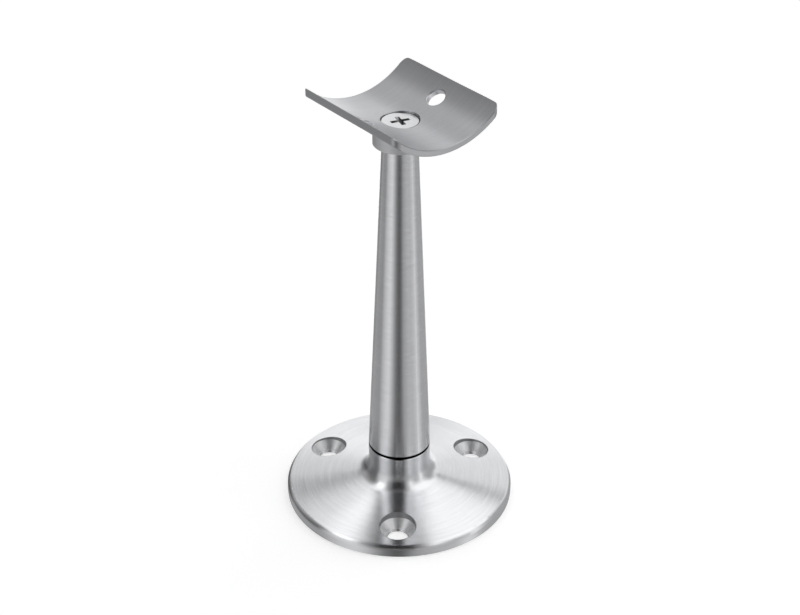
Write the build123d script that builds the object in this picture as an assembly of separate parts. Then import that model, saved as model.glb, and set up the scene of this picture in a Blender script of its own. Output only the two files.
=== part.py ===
from build123d import *
import os
from math import radians, tan

# Handrail saddle post. A turned flange is screwed to the floor, a tapered round
# post stands in its neck, and a saddle plate cut from tube, on a short boss, takes
# the rail.
# Millimetres, +Z up, origin at the centre of the underside, +X along the rail.

# Floor flange
flange_diameter = 100.0
rim_height = 5.2
rim_round = 2.2
cone_rise = 4.9
neck_height = 13.7
neck_fillet = 6.5
edge_break = 0.3

# Floor screw holes in the flange
hole_circle_diameter = 75.0
hole_count = 3
hole_diameter = 9.0
hole_mouth_diameter = 15.8
hole_land = 1.8
hole_turn = -38.5

# Tapered post
post_length = 145.0
post_foot_diameter = 27.0
post_top_diameter = 15.0
seam_gap = 1.2
spigot_diameter = 22.0
spigot_depth = 5.0
spigot_clearance = 0.05
drill_point_angle = 118.0
drill_spare = 4.0

# Bolt from below, flange to post
bolt_diameter = 10.0
bolt_length = 30.0
bolt_head_diameter = 16.0
bolt_head_height = 10.0
bolt_socket_width = 8.0
bolt_socket_depth = 5.0
bolt_head_chamfer = 0.8
bolt_head_recess = 1.0
bolt_hole_clearance = 0.5
thread_clearance = 0.05
thread_tip_chamfer = 1.2

# Split spring washer under the head of the bolt
washer_inner_diameter = 10.2
washer_outer_diameter = 18.1
washer_thickness = 2.2
washer_slit = 1.2
washer_slit_slant = 30.0
washer_hole_clearance = 0.4

# Boss between the post and the saddle plate
boss_diameter = 22.0
boss_height = 7.3

# Saddle plate, a piece of 76.1 x 2.6 mm tube cut straight down along its outline
rail_diameter = 70.0
rail_clearance = 0.45
plate_thickness = 2.6
plate_length = 60.0
plate_width = 51.0
plate_corner_radius = 3.0
plate_edge_break = 0.3
wing_hole_diameter = 8.0
wing_hole_angle = 30.0

# Countersunk screw, saddle to post
screw_diameter = 8.0
screw_length = 30.0
screw_head_diameter = 14.8
screw_head_rim = 0.5
screw_head_sink = 0.2
screw_seat_diameter = 16.0
screw_hole_clearance = 0.5
recess_width = 8.0
recess_arm = 1.9
recess_depth = 4.2
recess_bottom_width = 2.8
recess_turn = 75.0

# Radii and heights that follow from the sizes above
flange_radius = flange_diameter / 2
foot_radius = post_foot_diameter / 2
neck_base = rim_height + cone_rise
neck_top = neck_base + neck_height
post_foot = neck_top + seam_gap
post_top = post_foot + post_length
spigot_end = neck_top - spigot_depth
head_end = bolt_head_recess
washer_end = head_end + bolt_head_height
washer_seat = washer_end + washer_thickness
bolt_tip = washer_end + bolt_length
boss_top = post_top + boss_height
seat_radius = rail_diameter / 2 + rail_clearance
plate_radius = seat_radius + plate_thickness
seat_bottom = boss_top + plate_thickness
rail_height = seat_bottom + seat_radius
screw_top = seat_bottom - screw_head_sink
screw_tip = screw_top - screw_length
cone_start = screw_top - screw_head_rim


def turned(points, rounds=0):
    """Solid of revolution about Z from (radius, height) corners, with a round at each."""
    outline = FilletPolyline(*points, radius=rounds, close=True)
    section = Plane.XZ * make_face(outline)
    return revolve(section, Axis.Z)


def rod(radius, start, end):
    """Plain cylinder on Z between two heights."""
    return Pos(0, 0, start) * Cylinder(
        radius, end - start, align=(Align.CENTER, Align.CENTER, Align.MIN)
    )


def funnel(start_radius, end_radius, start, end):
    """Cone frustum on Z between two heights."""
    return Pos(0, 0, start) * Cone(
        start_radius, end_radius, end - start, align=(Align.CENTER, Align.CENTER, Align.MIN)
    )


def drill_point(radius):
    """Length of the pointed end that a twist drill leaves."""
    return radius / tan(radians(drill_point_angle / 2))


def base_flange():
    """Floor flange: rim, shallow cone, swept neck, three countersunk holes, bolt seat."""
    body = turned(
        [
            (0, 0),
            (flange_radius - edge_break, 0),
            (flange_radius, edge_break),
            (flange_radius, rim_height),
            (foot_radius, neck_base),
            (foot_radius, neck_top - edge_break),
            (foot_radius - edge_break, neck_top),
            (0, neck_top),
        ],
        [0, 0, 0, rim_round, neck_fillet, 0, 0, 0],
    )
    hole_radius = hole_diameter / 2
    mouth_radius = hole_mouth_diameter / 2
    mouth_floor = hole_land + mouth_radius - hole_radius
    hole = rod(hole_radius, -edge_break, neck_base)
    hole += funnel(hole_radius, mouth_radius, hole_land, mouth_floor)
    hole += rod(mouth_radius, mouth_floor, neck_base)
    holes = PolarLocations(hole_circle_diameter / 2, hole_count, start_angle=hole_turn) * hole
    body -= holes
    body -= rod(spigot_diameter / 2 + spigot_clearance, spigot_end, neck_top + edge_break)
    body -= rod(bolt_diameter / 2 + bolt_hole_clearance, -edge_break, neck_top)
    body -= rod(washer_outer_diameter / 2 + washer_hole_clearance, -edge_break, washer_seat)
    return body


def post():
    """Solid post: straight taper, spigot in the neck, a tapped blind hole in each end."""
    spigot_radius = spigot_diameter / 2
    top_radius = post_top_diameter / 2
    body = turned(
        [
            (0, spigot_end),
            (spigot_radius - edge_break, spigot_end),
            (spigot_radius, spigot_end + edge_break),
            (spigot_radius, post_foot),
            (foot_radius - edge_break, post_foot),
            (foot_radius, post_foot + edge_break),
            (top_radius, post_top - edge_break),
            (top_radius - edge_break, post_top),
            (0, post_top),
        ]
    )
    bolt_bore = bolt_diameter / 2 + thread_clearance
    bolt_bore_end = bolt_tip + drill_spare
    body -= rod(bolt_bore, spigot_end, bolt_bore_end)
    body -= funnel(bolt_bore, 0, bolt_bore_end, bolt_bore_end + drill_point(bolt_bore))
    screw_bore = screw_diameter / 2 + thread_clearance
    screw_bore_end = screw_tip - drill_spare
    body -= rod(screw_bore, screw_bore_end, post_top)
    body -= funnel(0, screw_bore, screw_bore_end - drill_point(screw_bore), screw_bore_end)
    return body


def base_bolt():
    """Hexagon socket head bolt, its head at the bottom."""
    shank_radius = bolt_diameter / 2
    body = rod(shank_radius, washer_end, bolt_tip)
    body = chamfer(body.faces().sort_by(Axis.Z)[-1].edges(), thread_tip_chamfer)
    head = rod(bolt_head_diameter / 2, head_end, washer_end)
    head = chamfer(head.faces().sort_by(Axis.Z)[0].edges(), bolt_head_chamfer)
    socket = RegularPolygon(bolt_socket_width / 2, 6, major_radius=False)
    head -= Pos(0, 0, head_end) * extrude(socket, bolt_socket_depth)
    socket_core = bolt_socket_width / 2
    socket_end = head_end + bolt_socket_depth
    head -= funnel(socket_core, 0, socket_end, socket_end + drill_point(socket_core))
    return body + head


def lock_washer():
    """Spring washer pressed flat, split once by a slanted slit."""
    body = rod(washer_outer_diameter / 2, washer_end, washer_seat)
    body -= rod(washer_inner_diameter / 2, washer_end, washer_seat)
    middle = (washer_end + washer_seat) / 2
    slit = Box(
        washer_outer_diameter,
        washer_slit,
        3 * washer_thickness,
        align=(Align.MIN, Align.CENTER, Align.CENTER),
    )
    return body - Pos(0, 0, middle) * Rot(washer_slit_slant, 0, 0) * slit


def screw_seat():
    """Ninety degree countersink a little wider than the screw's head, and its clearance hole."""
    head_radius = screw_head_diameter / 2
    mouth_radius = screw_seat_diameter / 2
    clear_radius = screw_diameter / 2 + screw_hole_clearance
    cone_end = cone_start - (head_radius - clear_radius)
    mouth_floor = cone_end + mouth_radius - clear_radius
    seat = funnel(clear_radius, mouth_radius, cone_end, mouth_floor)
    seat += rod(mouth_radius, mouth_floor, rail_height)
    return seat + rod(clear_radius, post_top - edge_break, cone_end)


def rail_rod(radius):
    """Cylinder on the axis of the rail, longer than any piece it cuts."""
    return Pos(0, 0, rail_height) * Rot(0, 90, 0) * Cylinder(radius, 2 * plate_length)


def saddle_boss():
    """Round boss, its top milled to the back of the saddle plate."""
    body = rod(boss_diameter / 2, post_top, rail_height)
    body = chamfer(body.faces().sort_by(Axis.Z)[0].edges(), edge_break)
    return body - rail_rod(plate_radius) - screw_seat()


def wing_hole(side):
    """Hole through one wing, square to the plate."""
    hole = rod(wing_hole_diameter / 2, seat_radius - plate_thickness, plate_radius + plate_thickness)
    return Pos(0, 0, rail_height) * Rot(180 + side * wing_hole_angle, 0, 0) * hole


def saddle():
    """Piece of tube, a rounded rectangle from above, with one countersunk and two plain holes."""
    tube = rail_rod(plate_radius) - rail_rod(seat_radius)
    outline = RectangleRounded(plate_length, plate_width, plate_corner_radius)
    body = tube & extrude(outline, rail_height)
    for side in (-1, 1):
        body -= wing_hole(side)
    curved_faces = body.faces().filter_by(GeomType.CYLINDER).sort_by(SortBy.AREA)[-2:]
    body = chamfer(curved_faces.edges(), plate_edge_break)
    return body - screw_seat()


def cross_recess():
    """Cross recess that narrows towards its bottom."""
    arm = Box(
        recess_width,
        recess_arm,
        recess_depth,
        align=(Align.CENTER, Align.CENTER, Align.MAX),
    )
    cross = arm + Rot(0, 0, 90) * arm
    taper = funnel(recess_bottom_width / 2, recess_width / 2, -recess_depth, 0)
    return Pos(0, 0, screw_top) * Rot(0, 0, recess_turn) * (cross & taper)


def saddle_screw():
    """Countersunk screw that holds the saddle and the boss on the post."""
    head_radius = screw_head_diameter / 2
    shank_radius = screw_diameter / 2
    cone_end = cone_start - (head_radius - shank_radius)
    body = rod(shank_radius, screw_tip, cone_end)
    body = chamfer(body.faces().sort_by(Axis.Z)[0].edges(), thread_tip_chamfer)
    body += funnel(shank_radius, head_radius, cone_end, cone_start)
    body += rod(head_radius, cone_start, screw_top)
    return body - cross_recess()


nodes = {
    "base_flange": base_flange,
    "post": post,
    "base_bolt": base_bolt,
    "lock_washer": lock_washer,
    "saddle_boss": saddle_boss,
    "saddle": saddle,
    "saddle_screw": saddle_screw,
}

os.makedirs("parts", exist_ok=True)
for name, make in nodes.items():
    export_step(make(), f"parts/{name}.step")
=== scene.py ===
from math import cos, radians, sin

import bpy
from mathutils import Matrix, Vector

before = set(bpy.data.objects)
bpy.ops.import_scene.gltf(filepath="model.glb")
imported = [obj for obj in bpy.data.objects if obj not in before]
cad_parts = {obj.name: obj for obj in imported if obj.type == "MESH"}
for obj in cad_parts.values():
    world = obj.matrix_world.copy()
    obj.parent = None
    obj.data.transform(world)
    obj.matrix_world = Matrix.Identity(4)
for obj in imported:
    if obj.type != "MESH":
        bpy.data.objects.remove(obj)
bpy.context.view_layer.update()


# Base flange: turned from stainless bar, flat below, a shallow cone above that sweeps up
# into the neck, with three countersunk holes. The lathe and a satin belt leave fine
# rings round the axis, which draw every highlight out along the radius.
def node(tree, kind, inputs=None, **settings):
    """A new shader node; an input is given a value or is fed from another socket."""
    made = tree.nodes.new(kind)
    for name, value in settings.items():
        setattr(made, name, value)
    for key, value in (inputs or {}).items():
        if isinstance(value, bpy.types.NodeSocket):
            tree.links.new(value, made.inputs[key])
        else:
            made.inputs[key].default_value = value
    return made


def plain_math(tree, operation, *values):
    """One step of arithmetic on plain numbers."""
    inputs = dict(enumerate(values))
    return node(tree, "ShaderNodeMath", inputs, operation=operation).outputs[0]


def vector_math(tree, operation, *values, output=0, **named):
    """One step of arithmetic on vectors."""
    inputs = dict(enumerate(values)) | named
    return node(tree, "ShaderNodeVectorMath", inputs, operation=operation).outputs[output]


def length(tree, vector):
    """How long a vector is."""
    return vector_math(tree, "LENGTH", vector, output="Value")


def split(tree, vector):
    """The X, Y and Z of a vector."""
    return node(tree, "ShaderNodeSeparateXYZ", {0: vector}).outputs


def join(tree, **values):
    """A vector from its X, Y and Z."""
    return node(tree, "ShaderNodeCombineXYZ", values).outputs[0]


def ramp(tree, value, low, high, start=0.35, end=0.65):
    """The value's range from start to end mapped to low to high."""
    inputs = {"Value": value, "From Min": start, "From Max": end, "To Min": low, "To Max": high}
    return node(tree, "ShaderNodeMapRange", inputs).outputs["Result"]


def toned(tree, mask, tone):
    """1 where the mask is 0, and the tone where it is 1."""
    return ramp(tree, mask, 1.0, tone, 0.0, 1.0)


def near_axis(tree, place, radius):
    """1 closer to Z than the radius, 0 elsewhere."""
    flat = vector_math(tree, "MULTIPLY", place, (1, 1, 0))
    return plain_math(tree, "LESS_THAN", length(tree, flat), radius)


def metal(name, roughness, anisotropy=0.0):
    """A plain metal, its node tree, its shader and the place on the piece."""
    material = bpy.data.materials.new(name)
    material.use_nodes = True
    tree = material.node_tree
    shader = tree.nodes["Principled BSDF"]
    shader.inputs["Metallic"].default_value = 1.0
    shader.inputs["Roughness"].default_value = roughness
    shader.inputs["Anisotropic"].default_value = anisotropy
    shader.inputs["Anisotropic Rotation"].default_value = 0.25
    place = node(tree, "ShaderNodeTexCoord").outputs["Object"]
    return material, tree, shader, place


fine_spacing, fine_arcs = 0.00022, 3.0
coarse_spacing, coarse_arcs = 0.0011, 1.5
ring_detail = 3.0
cloud_scale, cloud_detail = 60.0, 2.0
brush_depth = 0.00004


def ring_grain(tree, place, spacing, arcs):
    """Noise in rings round Z: close across them, long along them, with no seam."""
    flat = vector_math(tree, "MULTIPLY", place, (1, 1, 0))
    outward = vector_math(tree, "NORMALIZE", flat)
    around = vector_math(tree, "SCALE", outward, Scale=arcs)
    across = join(tree, Z=plain_math(tree, "DIVIDE", length(tree, flat), spacing))
    inputs = {
        "Vector": vector_math(tree, "ADD", around, across),
        "W": plain_math(tree, "DIVIDE", split(tree, place)["Z"], spacing),
        "Scale": 1.0,
        "Detail": ring_detail,
    }
    return node(tree, "ShaderNodeTexNoise", inputs, noise_dimensions="4D").outputs["Fac"]


def brush(tree, shader, place, colour, roughness, bite):
    """Colour, roughness and relief of brushed steel, in rings round the Z of the place."""
    fine = ring_grain(tree, place, fine_spacing, fine_arcs)
    coarse = ring_grain(tree, place, coarse_spacing, coarse_arcs)
    cloud_inputs = {"Vector": place, "Scale": cloud_scale, "Detail": cloud_detail}
    cloud = node(tree, "ShaderNodeTexNoise", cloud_inputs).outputs["Fac"]
    wear = plain_math(tree, "ADD", ramp(tree, fine, -0.03, 0.03), ramp(tree, cloud, -0.02, 0.02))
    tree.links.new(plain_math(tree, "ADD", wear, roughness), shader.inputs["Roughness"])
    tone = plain_math(
        tree, "MULTIPLY", ramp(tree, coarse, 0.975, 1.02), ramp(tree, fine, 0.95, 1.04)
    )
    bump_inputs = {"Height": fine, "Strength": bite, "Distance": brush_depth}
    bump = node(tree, "ShaderNodeBump", bump_inputs)
    tree.links.new(bump.outputs[0], shader.inputs["Normal"])
    return vector_math(tree, "SCALE", colour, Scale=tone)


def dress(name, material):
    """Gives a solid of the frame its finish."""
    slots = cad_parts[name].data.materials
    slots.clear()
    slots.append(material)


turned_colour = (0.85, 0.857, 0.875)
turned_roughness = 0.22
turned_anisotropy = 1.0
turned_bite = 0.24
joint_height = 0.0244
joint_half = 0.0009
joint_radius = 0.0133
joint_painted_shade = 0.12
hole_circle_radius = 0.0375
hole_turns = (-38.5, 81.5, 201.5)
hole_mouth_radius = 0.0079
hole_floor = 0.0015
hole_rim_half = 0.00014
hole_rim_painted_shade = 0.45
hole_roughness = 0.38
countersink_painted_light = 1.15
hole_scatter = 12.0
hole_scatter_scale = 4000.0

turned, tree, shader, place = metal("turned_stainless", turned_roughness, turned_anisotropy)
flat = vector_math(tree, "MULTIPLY", place, (1, 1, 0))
height = split(tree, place)["Z"]
# Painted shade: the narrow joint between the neck and the post is darkened in the colour.
level = plain_math(tree, "COMPARE", height, joint_height, joint_half)
in_shaded_joint = plain_math(tree, "MULTIPLY", level, near_axis(tree, place, joint_radius))
shade = toned(tree, in_shaded_joint, joint_painted_shade)
above = plain_math(tree, "GREATER_THAN", height, hole_floor)
middle = (0, 0, 0)
in_hole = 0.0
for turn in hole_turns:
    hole_x = hole_circle_radius * cos(radians(turn))
    hole_y = hole_circle_radius * sin(radians(turn))
    centre = join(tree, X=hole_x, Y=hole_y)
    away = vector_math(tree, "DISTANCE", flat, centre, output="Value")
    inside = plain_math(tree, "LESS_THAN", away, hole_mouth_radius)
    inside = plain_math(tree, "MULTIPLY", inside, above)
    in_hole = plain_math(tree, "ADD", in_hole, inside)
    middle = vector_math(tree, "ADD", middle, vector_math(tree, "SCALE", centre, Scale=inside))
    # Painted shade: a thin dark ring is drawn round the mouth of each countersink.
    on_shaded_rim = plain_math(tree, "COMPARE", away, hole_mouth_radius, hole_rim_half)
    on_shaded_rim = plain_math(tree, "MULTIPLY", on_shaded_rim, above)
    shade = plain_math(tree, "MULTIPLY", shade, toned(tree, on_shaded_rim, hole_rim_painted_shade))
# Painted light: the countersinks are made lighter in the colour.
shade = plain_math(tree, "MULTIPLY", shade, toned(tree, in_hole, countersink_painted_light))
roughness = ramp(tree, in_hole, turned_roughness, hole_roughness, 0.0, 1.0)
scatter_inputs = {"Vector": place, "Scale": hole_scatter_scale}
scatter = node(tree, "ShaderNodeTexNoise", scatter_inputs).outputs["Color"]
scatter = vector_math(tree, "SUBTRACT", scatter, (0.5, 0.5, 0.5))
scatter_share = plain_math(tree, "MULTIPLY", in_hole, hole_scatter)
scatter = vector_math(tree, "SCALE", scatter, Scale=scatter_share)
place = vector_math(tree, "SUBTRACT", place, middle)
around = vector_math(tree, "NORMALIZE", vector_math(tree, "CROSS_PRODUCT", (0, 0, 1), place))
around = vector_math(tree, "ADD", around, scatter)
tree.links.new(vector_math(tree, "NORMALIZE", around), shader.inputs["Tangent"])
colour = brush(tree, shader, place, turned_colour, roughness, turned_bite)
tree.links.new(vector_math(tree, "SCALE", colour, Scale=shade), shader.inputs["Base Color"])
dress("base_flange", turned)

# Base bolt: hexagon socket head cap screw from below, cold formed stainless, plain and
# bright with a little unevenness from the forming.
formed_colour = (0.76, 0.765, 0.775)
formed_roughness = 0.3
formed_scale, formed_detail = 500.0, 2.0
formed_bite, formed_depth = 0.03, 0.00003


def formed_metal(name):
    """Bright cold formed steel: the material, its tree, its shader, the place and the colour."""
    material, tree, shader, place = metal(name, formed_roughness)
    inputs = {"Vector": place, "Scale": formed_scale, "Detail": formed_detail}
    grain = node(tree, "ShaderNodeTexNoise", inputs).outputs["Fac"]
    tree.links.new(ramp(tree, grain, 0.28, 0.32), shader.inputs["Roughness"])
    tone = ramp(tree, grain, 0.96, 1.03)
    bump_inputs = {"Height": grain, "Strength": formed_bite, "Distance": formed_depth}
    bump = node(tree, "ShaderNodeBump", bump_inputs)
    tree.links.new(bump.outputs[0], shader.inputs["Normal"])
    colour = vector_math(tree, "SCALE", formed_colour, Scale=tone)
    return material, tree, shader, place, colour


bright, tree, shader, place, colour = formed_metal("bright_stainless")
tree.links.new(colour, shader.inputs["Base Color"])
dress("base_bolt", bright)

# Lock washer: split spring washer, rolled from stainless wire. It lies pressed flat under
# the head of the bolt and is as bright as the bolt.
dress("lock_washer", bright)

# Post: bar turned to a straight taper and brushed in rings like the flange. It stands in the
# neck, and the joint between them is darkened with painted shade.
dress("post", turned)

# Saddle boss: short turned spacer, its top milled to the back of the saddle. It keeps the
# duller finish of the lathe.
dull_colour = (0.80, 0.806, 0.82)
dull_roughness = 0.6
dull_anisotropy = 0.1
dull_bite = 0.35

dull, tree, shader, place = metal("dull_stainless", dull_roughness, dull_anisotropy)
axis = node(tree, "ShaderNodeTangent", direction_type="RADIAL", axis="Z")
tree.links.new(axis.outputs[0], shader.inputs["Tangent"])
colour = brush(tree, shader, place, dull_colour, dull_roughness, dull_bite)
tree.links.new(colour, shader.inputs["Base Color"])
dress("saddle_boss", dull)

# Saddle: a piece of ground tube, so its grain runs round the axis of the rail. The gap
# between the countersink and the head of the screw has painted shade, the lip above it
# painted light, and the walls of the two wing holes a painted reflection that lightens them.
rail_axis_height = 0.21535
plate_colour = (0.524, 0.53, 0.546)
plate_roughness = 0.34
plate_anisotropy = 0.55
plate_bite = 0.2
seat_radius = 0.00802
seat_height = 0.17975
seat_painted_shade = 0.2
seat_lip_painted_light = 1.8
wing_hole_tilt = radians(30)
wing_hole_radius = 0.00404
wing_wall_painted_light = 1.8

plate, tree, shader, place = metal("plate_stainless", plate_roughness, plate_anisotropy)
parts = split(tree, place)
fall = plain_math(tree, "SUBTRACT", parts["Z"], rail_axis_height)
along_rail = join(tree, X=parts["Y"], Y=fall, Z=parts["X"])
outward = join(tree, Y=parts["Y"], Z=fall)
around = vector_math(tree, "CROSS_PRODUCT", (1, 0, 0), outward)
tree.links.new(vector_math(tree, "NORMALIZE", around), shader.inputs["Tangent"])
colour = brush(tree, shader, along_rail, plate_colour, plate_roughness, plate_bite)
# Painted shade in the gap round the head of the screw, and painted light on the lip above it.
below = plain_math(tree, "LESS_THAN", parts["Z"], seat_height)
seat_painted_tone = ramp(tree, below, seat_lip_painted_light, seat_painted_shade, 0.0, 1.0)
shade = toned(tree, near_axis(tree, place, seat_radius), seat_painted_tone)
# Painted reflection: the walls of the two wing holes are made lighter in the colour.
beside = join(tree, X=parts["X"], Y=plain_math(tree, "ABSOLUTE", parts["Y"]), Z=fall)
hole_axis = (0, sin(wing_hole_tilt), -cos(wing_hole_tilt))
away = length(tree, vector_math(tree, "CROSS_PRODUCT", beside, hole_axis))
on_wall = plain_math(tree, "LESS_THAN", away, wing_hole_radius)
shade = plain_math(tree, "MULTIPLY", shade, toned(tree, on_wall, wing_wall_painted_light))
tree.links.new(vector_math(tree, "SCALE", colour, Scale=shade), shader.inputs["Base Color"])
dress("saddle", plate)

# Saddle screw: countersunk and cold formed like the bolt. It holds saddle and boss on the
# post, and its cross recess is darkened with painted shade.
recess_middle = 0.1774
recess_half = 0.0021
recess_radius = 0.0042
recess_painted_shade = 0.65

recessed, tree, shader, place, colour = formed_metal("bright_stainless_recess")
# Painted shade: the cross recess is darkened in the colour.
level = plain_math(tree, "COMPARE", split(tree, place)["Z"], recess_middle, recess_half)
in_recess = plain_math(tree, "MULTIPLY", level, near_axis(tree, place, recess_radius))
shade = toned(tree, in_recess, recess_painted_shade)
tree.links.new(vector_math(tree, "SCALE", colour, Scale=shade), shader.inputs["Base Color"])
dress("saddle_screw", recessed)

# Floor: pale and plain. The camera sees it white with the post's own soft shadow. The
# metal looks through it at the studio, and so does a camera below it.
floor_size = 6.0
floor_colour = (0.9, 0.9, 0.9, 1)
floor_lift = 0.5

bpy.ops.mesh.primitive_plane_add(size=floor_size)
floor = bpy.context.object
floor.name = "floor"
floor_material = bpy.data.materials.new("floor")
floor_material.use_nodes = True
tree = floor_material.node_tree
tree.nodes.clear()
rays = node(tree, "ShaderNodeLightPath").outputs
paint = node(tree, "ShaderNodeBsdfDiffuse", {"Color": floor_colour})
lift = plain_math(tree, "MULTIPLY", rays["Is Camera Ray"], floor_lift)
glow = node(tree, "ShaderNodeEmission", {"Strength": lift})
seen = node(tree, "ShaderNodeAddShader", {0: paint.outputs[0], 1: glow.outputs[0]})
clear = node(tree, "ShaderNodeBsdfTransparent")
opened = plain_math(tree, "MAXIMUM", rays["Is Glossy Ray"], rays["Is Shadow Ray"])
from_below = node(tree, "ShaderNodeNewGeometry").outputs["Backfacing"]
opened = plain_math(tree, "MAXIMUM", opened, from_below)
inputs = {0: opened, 1: seen.outputs[0], 2: clear.outputs[0]}
surface = node(tree, "ShaderNodeMixShader", inputs)
node(tree, "ShaderNodeOutputMaterial", {"Surface": surface.outputs[0]})
floor.data.materials.append(floor_material)

# Studio: grey walls, darkest where the camera stands, soft round lights and dark flags, and
# over the back a patch of wedges, which the cone of the flange mirrors side by side. Turns
# are counted in degrees from the camera, to its right.
camera_turn = radians(52.36)
camera_polar = camera_turn - radians(90)
back_turn = 180
# Turn and grey level of the walls.
wall_lights = [
    (-180, 0.62),
    (-150, 0.42),
    (-120, 0.38),
    (-100, 0.37),
    (-86, 0.33),
    (-74, 0.50),
    (-58, 0.66),
    (-44, 0.72),
    (-34, 0.56),
    (-25, 0.36),
    (-14, 0.18),
    (-4, 0.11),
    (3, 0.12),
    (10, 0.22),
    (17, 0.36),
    (40, 0.47),
    (58, 0.48),
    (67, 0.62),
    (76, 0.94),
    (87, 0.52),
    (100, 0.40),
    (148, 0.40),
    (180, 0.62),
]
wall_top_start, wall_top_end = 0.47, 0.56
wall_top_share = 0.68
# Turn, rise, radius of the full light, radius where it ends, and grey level.
round_lights = [
    (180, -6, 24, 33, 1.35),
    (180, 70, 14, 32, 1.65),
    (150, 56, 10, 27, 1.55),
    (148, 22, 12, 26, 1.0),
    (-150, 68, 6, 18, 1.5),
    (-70, 57, 8, 24, 1.6),
    (88, 58, 12, 30, 1.15),
    (-140, -2, 13, 30, 0.08),
    (-98, 6, 16, 28, 0.12),
    (-92, 38, 7, 16, 0.14),
    (-128, 42, 8, 18, 0.30),
    (131, 0, 6, 24, 0.34),
    (0, 20, 10, 30, 0.22),
]
# Side of the flange on which a wedge shows, and its grey level.
wedge_lights = [
    (-180, 1.05),
    (-145, 1.05),
    (-120, 0.95),
    (-98, 0.74),
    (-90, 0.70),
    (-84, 0.42),
    (-76, 0.37),
    (-70, 0.53),
    (-62, 0.80),
    (-50, 1.02),
    (-38, 1.16),
    (-30, 1.14),
    (-24, 0.72),
    (-18, 0.34),
    (-10, 0.04),
    (0, 0.0),
    (7, 0.03),
    (13, 0.40),
    (19, 1.02),
    (36, 1.14),
    (62, 1.08),
    (69, 0.80),
    (72, 0.22),
    (75, 0.25),
    (79, 0.76),
    (97, 0.86),
    (129, 1.05),
    (146, 0.90),
    (180, 1.05),
]
wedge_rise = 38
wedge_inner, wedge_outer = 20, 41
band_inner, band_outer = 20, 29
band_foot_start, band_foot_end = 0.25, 0.40

world = bpy.data.worlds.new("studio")
world.use_nodes = True
tree = world.node_tree
tree.nodes.clear()
sight = node(tree, "ShaderNodeTexCoord").outputs["Generated"]
inputs = {"Vector": sight, "Rotation": (0, 0, -camera_polar)}
direction = node(tree, "ShaderNodeMapping", inputs).outputs[0]


def turn_share(vector):
    """The turn of a vector as a share of a full one: 0.5 towards the camera."""
    inputs = {"Vector": vector}
    return node(tree, "ShaderNodeTexGradient", inputs, gradient_type="RADIAL").outputs["Fac"]


def by_turn(share, lights):
    """Grey levels round a full turn, from a list of angles and levels."""
    ring = node(tree, "ShaderNodeValToRGB", {"Fac": share})
    stops = ring.color_ramp.elements
    stops.remove(stops[-1])
    for number, (angle, level) in enumerate(lights):
        stop = stops.new(0.5 + angle / 360) if number else stops[0]
        stop.position = 0.5 + angle / 360
        stop.color = (level, level, level, 1)
    return ring.outputs["Color"]


def lit_share(centre_turn, centre_rise, inner, outer):
    """How far the direction lies inside a round light: 1 in it, 0 outside, soft between."""
    turn, rise = radians(centre_turn), radians(centre_rise)
    centre = (cos(turn) * cos(rise), sin(turn) * cos(rise), sin(rise))
    nearness = vector_math(tree, "DOT_PRODUCT", direction, centre, output="Value")
    inputs = {
        "Value": nearness,
        "From Min": cos(radians(outer)),
        "From Max": cos(radians(inner)),
    }
    soft = node(tree, "ShaderNodeMapRange", inputs, interpolation_type="SMOOTHSTEP")
    return soft.outputs["Result"]


def grey_mix(share, first, second):
    """Colour that goes from the first to the second with the share."""
    inputs = {0: share, 6: first, 7: second}
    return node(tree, "ShaderNodeMix", inputs, data_type="RGBA").outputs[2]


rise_share = split(tree, direction)["Z"]
wall_share = ramp(tree, rise_share, 1.0, wall_top_share, wall_top_start, wall_top_end)
walls = by_turn(turn_share(direction), wall_lights)
studio = vector_math(tree, "SCALE", walls, Scale=wall_share)
for light_turn, light_rise, inner, outer, level in round_lights:
    share = lit_share(light_turn, light_rise, inner, outer)
    studio = grey_mix(share, studio, (level, level, level, 1))
halfway = vector_math(tree, "ADD", direction, (cos(radians(wedge_rise)), 0, 0))
wedge = turn_share(halfway)
off_middle = plain_math(tree, "ABSOLUTE", plain_math(tree, "SUBTRACT", wedge, 0.5))
in_band = ramp(tree, off_middle, 1.0, 0.0, band_inner / 360, band_outer / 360)
above = ramp(tree, rise_share, 0.0, 1.0, band_foot_start, band_foot_end)
near = lit_share(back_turn, wedge_rise, wedge_inner, wedge_outer)
wedge_share = plain_math(tree, "MAXIMUM", near, plain_math(tree, "MULTIPLY", in_band, above))
studio = grey_mix(wedge_share, studio, by_turn(wedge, wedge_lights))
rays = node(tree, "ShaderNodeLightPath").outputs
shown = grey_mix(rays["Is Camera Ray"], studio, (1, 1, 1, 1))
light = node(tree, "ShaderNodeBackground", {"Color": shown})
node(tree, "ShaderNodeOutputWorld", {"Surface": light.outputs[0]})
bpy.context.scene.world = world

# Camera: a long lens that looks down on the post from the front right. It aims about
# halfway up the post and is turned a little about its own line of sight.
picture_width = 800
sensor_width = 36.0
focal_pixels = 1606.1
camera_distance = 0.6743
camera_rise = radians(31.74)
camera_roll = radians(0.159)
aim_side = 0.00014
aim_height = 0.09365

camera_data = bpy.data.cameras.new("camera")
camera_data.sensor_fit = "HORIZONTAL"
camera_data.sensor_width = sensor_width
camera_data.lens = focal_pixels / picture_width * sensor_width
camera = bpy.data.objects.new("camera", camera_data)
bpy.context.scene.collection.objects.link(camera)
to_the_right = Vector((cos(camera_turn), sin(camera_turn), 0))
aim = to_the_right * aim_side + Vector((0, 0, aim_height))
towards_camera = Vector(
    (
        sin(camera_turn) * cos(camera_rise),
        -cos(camera_turn) * cos(camera_rise),
        sin(camera_rise),
    )
)
facing = towards_camera.to_track_quat("Z", "Y").to_matrix().to_4x4()
camera.matrix_world = (
    Matrix.Translation(aim + towards_camera * camera_distance)
    @ facing
    @ Matrix.Rotation(camera_roll, 4, "Z")
)
bpy.context.scene.camera = camera
bpy.context.scene.view_settings.view_transform = "Standard"
